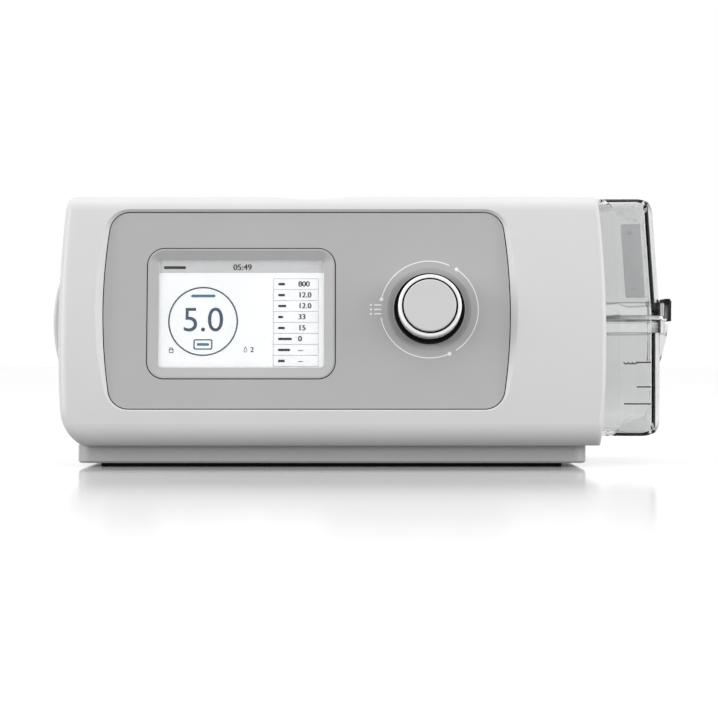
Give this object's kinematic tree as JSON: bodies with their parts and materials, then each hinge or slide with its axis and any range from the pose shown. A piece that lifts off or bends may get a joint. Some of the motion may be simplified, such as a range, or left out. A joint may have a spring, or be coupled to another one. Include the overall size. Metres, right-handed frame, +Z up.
{
  "type": "mechanical ventilator",
  "caption": "White bench-top ventilator with a tilted control panel, lit display, turn-and-press knob and a clear docking humidifier tank at its right-hand side.",
  "frame": {"origin": "on the table, under the centre of the bounding box of the whole machine at rest", "axes": "+X to the right as the user faces the display, +Y to the back, +Z up"},
  "size_m": [0.2915, 0.1652, 0.123],
  "materials": {
    "base_steel": "brushed stainless",
    "black_plastic": "matt moulding",
    "black_print": "screen print",
    "black_rubber": "matt",
    "can_aluminium": "bead blasted",
    "chrome_ring": "bright plated",
    "clear_window": "clear window",
    "copper_stator": "enamelled copper windings and laminations",
    "dark_foam": "sound-absorbing foam",
    "filter_foam": "open foam",
    "frosted_clear": "frosted polycarbonate",
    "green_board": "solder mask",
    "grey_plastic": "fine matt moulding",
    "grey_rubber": "matt",
    "knob_grey": "satin moulding",
    "label_silver": "blank label",
    "lid_clear": "clear polycarbonate",
    "light_grey": "fine satin moulding",
    "panel_grey": "satin panel film",
    "screen_black": "lit display face",
    "smoked_clear": "smoked polycarbonate",
    "soft_silicone": "translucent silicone",
    "tank_clear": "clear polycarbonate",
    "white_gloss": "polished moulding",
    "white_print": "screen print",
    "white_shell": "fine satin moulding",
    "zinc_steel": "zinc plated"
  },
  "bodies": {
    "main_unit": {"air_duct": "grey_plastic", "base_screws": "zinc_steel", "base_tray": "grey_plastic", "blower_base": "grey_plastic", "blower_lid": "grey_plastic", "blower_mounts": "black_rubber", "board_chips": "black_plastic", "board_screws": "zinc_steel", "buzzer": "black_plastic", "capacitors": "can_aluminium", "coin_cell": "zinc_steel", "control_panel": "panel_grey", "data_port": "black_plastic", "dc_inlet": "black_plastic", "dial_marks": "white_print", "display_bezel": "panel_grey", "display_board": "green_board", "display_lens": "clear_window", "display_module": "screen_black", "dock_seals": "soft_silicone", "encoder_body": "zinc_steel", "feet": "black_rubber", "flow_sensor": "black_plastic", "front_housing": "white_shell", "heater_springs": "zinc_steel", "hose_outlet": "light_grey", "inlet_filter": "filter_foam", "inlet_muffler": "black_plastic", "main_board": "green_board", "motor_bearings": "zinc_steel", "motor_stator": "copper_stator", "muffler_foam": "dark_foam", "outlet_duct": "grey_plastic", "panel_screws": "zinc_steel", "rating_plate": "label_silver", "rear_housing": "white_shell", "rear_panel": "white_shell", "ribbon_cable": "grey_plastic", "sensing_tube": "soft_silicone", "start_switch": "green_board"},
    "knob_push": {"encoder_plunger": "zinc_steel"},
    "knob": {"encoder_shaft": "zinc_steel", "knob_body": "black_plastic", "knob_ring": "chrome_ring", "knob_cap": "knob_grey"},
    "start_key": {"start_button": "white_gloss"},
    "side_cover": {"filter_cover": "light_grey"},
    "blower_rotor": {"impeller": "black_plastic", "blower_shaft": "zinc_steel"},
    "heater": {"heater_plate": "can_aluminium"},
    "data_flap": {"port_flap": "grey_rubber"},
    "card": {"memory_card": "black_plastic"},
    "tank": {"tank_tub": "tank_clear", "tank_base_plate": "base_steel", "level_marks": "black_print", "hinge_pin": "zinc_steel"},
    "lid": {"tank_lid": "lid_clear", "lid_baffle": "frosted_clear", "tank_gasket": "soft_silicone"},
    "latch": {"tank_latch": "smoked_clear"}
  },
  "joints": [
    {"name": "knob_press", "type": "slide", "parent": "main_unit", "child": "knob_push", "axis": [0, 0.9914, -0.1305], "range_m": [0, 0.0008], "stiffness_N_per_m": 4000, "springref_m": -0.0003},
    {"name": "knob_turn", "type": "hinge", "parent": "knob_push", "child": "knob", "pos_m": [0.0277, -0.06825, 0.0711], "axis": [0, -0.9914, 0.1305], "continuous": true},
    {"name": "start_press", "type": "slide", "parent": "main_unit", "child": "start_key", "axis": [0, 0, -1], "range_m": [0, 0.0008], "stiffness_N_per_m": 2500, "springref_m": -0.0003},
    {"name": "side_cover_pull", "type": "slide", "parent": "main_unit", "child": "side_cover", "axis": [-1, 0, 0], "range_m": [0, 0.03]},
    {"name": "blower_spin", "type": "hinge", "parent": "main_unit", "child": "blower_rotor", "pos_m": [-0.045, 0.014, 0.054], "axis": [0, 0, 1], "continuous": true},
    {"name": "heater_float", "type": "slide", "parent": "main_unit", "child": "heater", "axis": [0, 0, -1], "range_m": [0, 0.0012], "stiffness_N_per_m": 3000, "springref_m": -0.0005, "deforming": ["heater_springs"]},
    {"name": "data_flap_swing", "type": "hinge", "parent": "main_unit", "child": "data_flap", "pos_m": [-0.072, 0.0631, 0.0406], "axis": [1, 0, 0], "range_deg": [0, 100]},
    {"name": "card_pull", "type": "slide", "parent": "main_unit", "child": "card", "axis": [0, 1, 0], "range_m": [0, 0.026]},
    {"name": "tank_slide", "type": "slide", "parent": "main_unit", "child": "tank", "axis": [1, 0, 0], "range_m": [0, 0.13]},
    {"name": "lid_swing", "type": "hinge", "parent": "tank", "child": "lid", "pos_m": [0.0275, 0.015, 0.118], "axis": [0, -1, 0], "range_deg": [0, 95]},
    {"name": "latch_swing", "type": "hinge", "parent": "lid", "child": "latch", "pos_m": [0.1422, 0.014, 0.0758], "axis": [0, -1, 0], "range_deg": [0, 60]}
  ]
}
